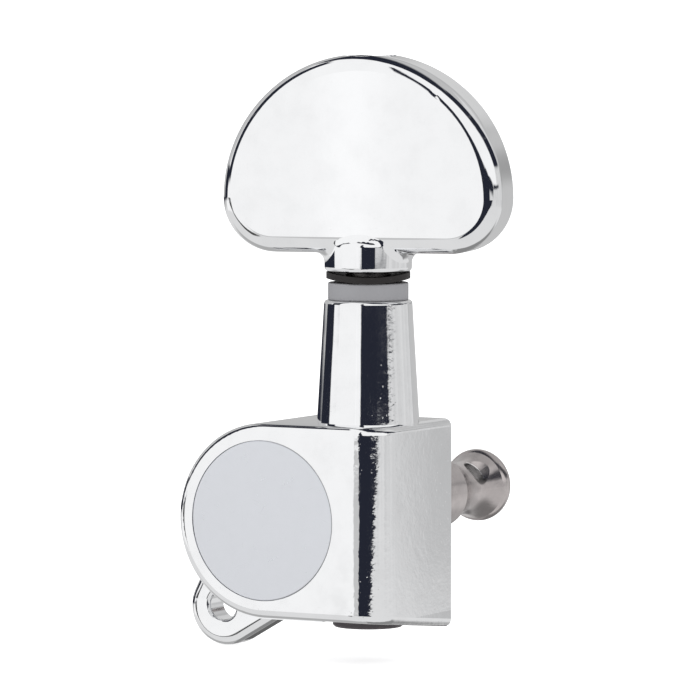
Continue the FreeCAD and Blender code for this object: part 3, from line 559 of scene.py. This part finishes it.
class TUNER_OT_works(bpy.types.Operator):
    """Finish the gears, washers, sleeves and screws inside"""

    bl_idname = "tuner.works"
    bl_label = "Gears and Fasteners"

    def execute(self, context):
        settings = context.scene.tuner_finish
        dress(
            turned_finish("wheel_brass", settings.brass, haze=0.24, axis="Y", worn=0.6),
            "worm_wheel",
        )
        dress(turned_finish("worm_steel", settings.shaft, haze=0.32, axis="Z"), "worm_shaft")
        dress(
            turned_finish("fastener_steel", settings.steel, haze=0.28, axis="Y", worn=0.3),
            "wheel_screw", "wheel_lock_washer", "wheel_thrust_washer", "post_washer",
        )
        dress(
            turned_finish("screw_plate", settings.steel, haze=0.2, axis="Z"),
            "button_screw", "button_screw_washer",
        )
        dress(
            moulded_finish("bearing_nylon", settings.bearing, haze=0.4),
            "post_bush", "neck_bush", "worm_upper_washer", "worm_lower_washer",
        )
        dress(
            moulded_finish("seal_rubber", settings.rubber, haze=0.55),
            "post_seal_ring", "neck_seal_ring",
        )
        return {"FINISHED"}


DEGREE = radians(1.0)
FULL_TURN = 360.0
DARK, SOFTBOX = "d", "b"

# Greys of the walls round the machine: a turn from the camera in degrees, to the right as
# positive, and the share of the walls' own brightness there.
WALLS = (
    (-180, 0.8), (-150, 0.86), (-100, 1.08), (0, 1.2), (54, 1.2), (86, 1.2), (120, 1.2),
    (125, 0.98), (156, 0.84), (180, 0.8),
)
# Where the ceiling begins and is full, in degrees above the floor, and the left and right edge
# of the dark beam across it.
CEILING_EDGE = (47.0, 51.0)
BEAM_LEFT = (-0.02, 0.02)
BEAM_RIGHT = (0.42, 0.6)
# Patches of the studio as the plating shows them, each painted over the ones before it: the
# shade, how soft the edge is in degrees, and the corners of a convex patch, in order with the
# inside on the left. A corner is a turn and a height above the floor, in degrees. A shade is
# DARK, SOFTBOX or a grey.
STUDIO = (
    # The ground, and the dim walls behind the machine.
    (0.78, 6.0, ((-190, -100), (190, -100), (190, -9), (-190, -9))),
    (0.26, 16.0, ((112, -100), (190, -100), (190, -30), (112, -30))),
    (0.66, 6.0, ((157, 9), (190, 9), (190, 32), (157, 32))),
    (0.36, 4.0, ((136, 1.5), (157, 1.5), (157, 6), (136, 6))),
    (0.56, 3.0, ((136, -30), (190, -30), (190, 0.5), (136, 0.5))),
    (0.12, 4.0, ((166, -27), (178, -27), (178, -17), (166, -17))),
    (0.45, 16.0, ((-190, -100), (-112, -100), (-112, -30), (-190, -30))),
    # The left softbox, with a bright line down it and a grey foot at its right.
    (SOFTBOX, 2.0, ((-112, -13.5), (-18, -13.5), (-16, 56), (-40, 58), (-112, 56))),
    (1.07, 1.0, ((-30.3, -3.4), (-29, -3.4), (-29, 3), (-30.3, 3))),
    (0.6, 3.0, ((-38, -13.5), (-18, -13.5), (-18, -4.5), (-38, -4.5))),
    # The right softbox.
    (SOFTBOX, 3.0, ((-14, 4.5), (76, 4.5), (80, 14.5), (64, 31), (20, 48), (12, 52), (-14, 52))),
    # The dark gap between the softboxes, which spreads to the right below the right one.
    (DARK, 2.0, ((-18, -2), (-11, -2), (-11, 10), (-14, 24), (-21, 24), (-21, 8))),
    (DARK, 2.0, ((-21, 23), (-15, 23), (-16, 52), (-20, 52))),
    (DARK, 2.0, ((-18, -7), (17, -7), (20, 6), (-18, 8.5))),
    (DARK, 1.6, ((10, 0.8), (44, 0.4), (49, 3), (44, 5.6), (10, 7.5))),
    (DARK, 1.4, ((-22, -20), (-12, -20), (47, -3.3), (-22, -3.3))),
    (DARK, 1.5, ((50, 2.6), (92, 3.6), (92, 5), (50, 5))),
    # A thin dark line that climbs below the left softbox, from its right to its left.
    (0.08, 2.0, ((-57, -18), (-53, -22.5), (-48.6, -26), (-40, -20), (-37, -15), (-52, -13.5))),
    (0.08, 2.0, ((-75, -10.5), (-65, -14.9), (-57, -18), (-52, -13.5), (-62, -12.5))),
    (0.05, 2.0, ((-86, -5), (-75, -10.5), (-62, -12.5), (-68, -5.5))),
    (DARK, 1.4, ((-98, -3.8), (-86, -5), (-68, -5.5), (-74, -3.8))),
    # Dark openings at the far left, round the left softbox.
    (DARK, 1.4, ((-172, -4.6), (-120, -4.6), (-120, -1.6), (-172, -1.6))),
    (DARK, 2.0, ((-131, -5), (-101, -5), (-97, 2), (-101, 7), (-131, 7))),
    (DARK, 3.0, ((-104, 2.5), (-80, 2.5), (-82, 26), (-110, 26))),
    (DARK, 3.0, ((-110, 25), (-82, 25), (-90, 62), (-130, 62))),
    # A dark arc round the upper right of the right softbox.
    (DARK, 3.0, ((80, 14.5), (126, 10), (105, 28), (64, 31))),
    (DARK, 3.0, ((64, 30), (105, 27), (84, 44), (40, 40))),
    (DARK, 3.0, ((40, 39), (84, 43), (67, 61), (20, 48))),
)


def studio_patch(sheet, turn, height, soft, corners):
    """One inside a patch of directions and nought outside."""
    inside = None
    for (turn_a, height_a), (turn_b, height_b) in zip(corners, corners[1:] + corners[:1]):
        run, climb = turn_b - turn_a, height_b - height_a
        reach = hypot(run, climb)
        edge = (height - height_a) * (run / reach) - (turn - turn_a) * (climb / reach)
        inside = edge if inside is None else sheet.math("MINIMUM", inside, edge)
    return sheet.step(inside, -0.5 * soft, 0.5 * soft)


def ceiling_shade(sheet, stage, across, toward, upward):
    """The ceiling from left to right: a softbox, a dark beam and plain grey."""
    over = across - 0.5 * toward + 0.25 * upward
    shade = sheet.mix(
        sheet.step(over, *BEAM_LEFT), opaque([stage.box_light] * 3), opaque(stage.dark)
    )
    return sheet.mix(sheet.step(over, *BEAM_RIGHT), shade, opaque([stage.ceiling_light] * 3))


def build_world(stage):
    """The studio for glossy rays, which the plating shows, and plain white for all others."""
    world = bpy.data.worlds.new("studio")
    world.use_nodes = True
    bpy.context.scene.world = world
    sheet = Sheet(world.node_tree)
    direction = sheet.node("ShaderNodeTexCoord", None, None, "Generated")
    angle = stage.camera_turn
    across = sheet.vector("DOT_PRODUCT", direction, (cos(angle), sin(angle), 0.0), "Value")
    toward = sheet.vector("DOT_PRODUCT", direction, (sin(angle), -cos(angle), 0.0), "Value")
    upward = sheet.vector("DOT_PRODUCT", direction, (0.0, 0.0, 1.0), "Value")
    turn = sheet.math("ARCTAN2", across, toward) / DEGREE
    height = sheet.math("ARCSINE", upward) / DEGREE
    stops = [(place / FULL_TURN + 0.5, grey * stage.wall_light) for place, grey in WALLS]
    walls = sheet.node("ShaderNodeValToRGB", {"stops": stops}, {0: turn / FULL_TURN + 0.5})
    blotch = sheet.noise(direction, 0.13, detail=3.0, rough=0.6, seed=1.0)
    seen = sheet.mix(0.14 * sheet.step(blotch, 0.35, 0.65), walls, opaque(stage.dark))
    ceiling = ceiling_shade(sheet, stage, across, toward, upward)
    seen = sheet.mix(sheet.step(height, *CEILING_EDGE), seen, ceiling)
    shades = {DARK: opaque(stage.dark), SOFTBOX: opaque([stage.box_light] * 3)}
    for shade, soft, corners in STUDIO:
        patch = studio_patch(sheet, turn, height, soft, corners)
        seen = sheet.mix(patch, seen, shades.get(shade) or opaque([shade] * 3))
    gloss_ray = sheet.node("ShaderNodeLightPath", None, None, "Is Glossy Ray")
    shown = sheet.mix(gloss_ray, WHITE, seen)
    light = sheet.node("ShaderNodeBackground", None, {"Color": shown, "Strength": 1.0})
    sheet.node("ShaderNodeOutputWorld", None, {"Surface": light})


def build_floor(stage):
    """A pale floor just under the lowest point, lit a little from within."""
    low, _ = CAD_BOX
    sketch = bmesh.new()
    bmesh.ops.create_grid(sketch, x_segments=1, y_segments=1, size=stage.floor_reach)
    bmesh.ops.translate(sketch, verts=sketch.verts, vec=(0.0, 0.0, low[2] - FLOOR_GAP))
    mesh = bpy.data.meshes.new("floor")
    sketch.to_mesh(mesh)
    sketch.free()
    floor = bpy.data.objects.new("floor", mesh)
    bpy.context.scene.collection.objects.link(floor)
    material, sheet, place = new_finish("floor_pale")
    cloud = sheet.noise(place, 400 * MM, detail=2.0, rough=0.5, seed=1.0)
    tone = sheet.mix(cloud, darker(stage.floor, 0.995), opaque(stage.floor))
    inputs = {
        "Base Color": tone, "Roughness": 0.9, "Specular IOR Level": 0.0,
        "Emission Color": WHITE, "Emission Strength": stage.floor_glow,
    }
    mesh.materials.append(close_finish(material, sheet, inputs, stage.floor))
    floor.visible_glossy = False


def build_fill(stage):
    """One large soft light above, which the plating doesn't show."""
    lamp = bpy.data.lights.new("fill", "AREA")
    lamp.shape = "DISK"
    lamp.size = FILL_SIZE
    lamp.energy = stage.fill_power
    fill = bpy.data.objects.new("fill", lamp)
    fill.location = FILL_PLACE
    toward = FILL_TARGET - FILL_PLACE
    fill.rotation_euler = toward.to_track_quat("-Z", "Y").to_euler()
    fill.visible_glossy = False
    bpy.context.scene.collection.objects.link(fill)


def build_camera(stage):
    """The photograph's view."""
    turn, rise = stage.camera_turn, stage.camera_rise
    back = Vector((sin(turn) * cos(rise), -cos(turn) * cos(rise), sin(rise)))
    right = Vector((cos(turn), sin(turn), 0.0))
    up = back.cross(right)
    data = bpy.data.cameras.new("camera")
    data.lens = stage.camera_lens
    data.sensor_width = SENSOR_WIDTH
    data.clip_start = CLIP_NEAR
    data.clip_end = CLIP_FAR
    camera = bpy.data.objects.new("camera", data)
    axes = Matrix((right, up, back)).transposed()
    camera.matrix_world = Matrix.Translation(CAMERA_PLACE) @ axes.to_4x4()
    bpy.context.scene.collection.objects.link(camera)
    bpy.context.scene.camera = camera


class TUNER_OT_stage(bpy.types.Operator):
    """Set up the floor, the light and the camera"""

    bl_idname = "tuner.stage"
    bl_label = "Studio"

    def execute(self, context):
        stage = context.scene.tuner_stage
        build_camera(stage)
        build_world(stage)
        build_floor(stage)
        build_fill(stage)
        context.scene.view_settings.view_transform = "Standard"
        return {"FINISHED"}


STEPS = (
    TUNER_OT_stage, TUNER_OT_castings, TUNER_OT_cover, TUNER_OT_post, TUNER_OT_neck_stack,
    TUNER_OT_works,
)


class TUNER_PT_panel(bpy.types.Panel):
    """Sizes, colours and steps of the tuning machine"""

    bl_label = "Tuning Machine"
    bl_space_type = "VIEW_3D"
    bl_region_type = "UI"
    bl_category = "Tuner"

    def draw(self, context):
        layout = self.layout
        layout.use_property_split = True
        for step in STEPS:
            layout.operator(step.bl_idname)
        for group in (context.scene.tuner_finish, context.scene.tuner_stage):
            box = layout.box()
            for name in group.__annotations__:
                box.prop(group, name)


CLASSES = (TunerFinish, TunerStage, *STEPS, TUNER_PT_panel)


def register():
    for kind in CLASSES:
        bpy.utils.register_class(kind)
    bpy.types.Scene.tuner_finish = PointerProperty(type=TunerFinish)
    bpy.types.Scene.tuner_stage = PointerProperty(type=TunerStage)


def unregister():
    del bpy.types.Scene.tuner_stage
    del bpy.types.Scene.tuner_finish
    for kind in reversed(CLASSES):
        bpy.utils.unregister_class(kind)


def main():
    """Runs every step in order, as a user would from the panel."""
    register()
    for step in STEPS:
        group, name = step.bl_idname.split(".")
        getattr(getattr(bpy.ops, group), name)()


if __name__ == "__main__":
    main()
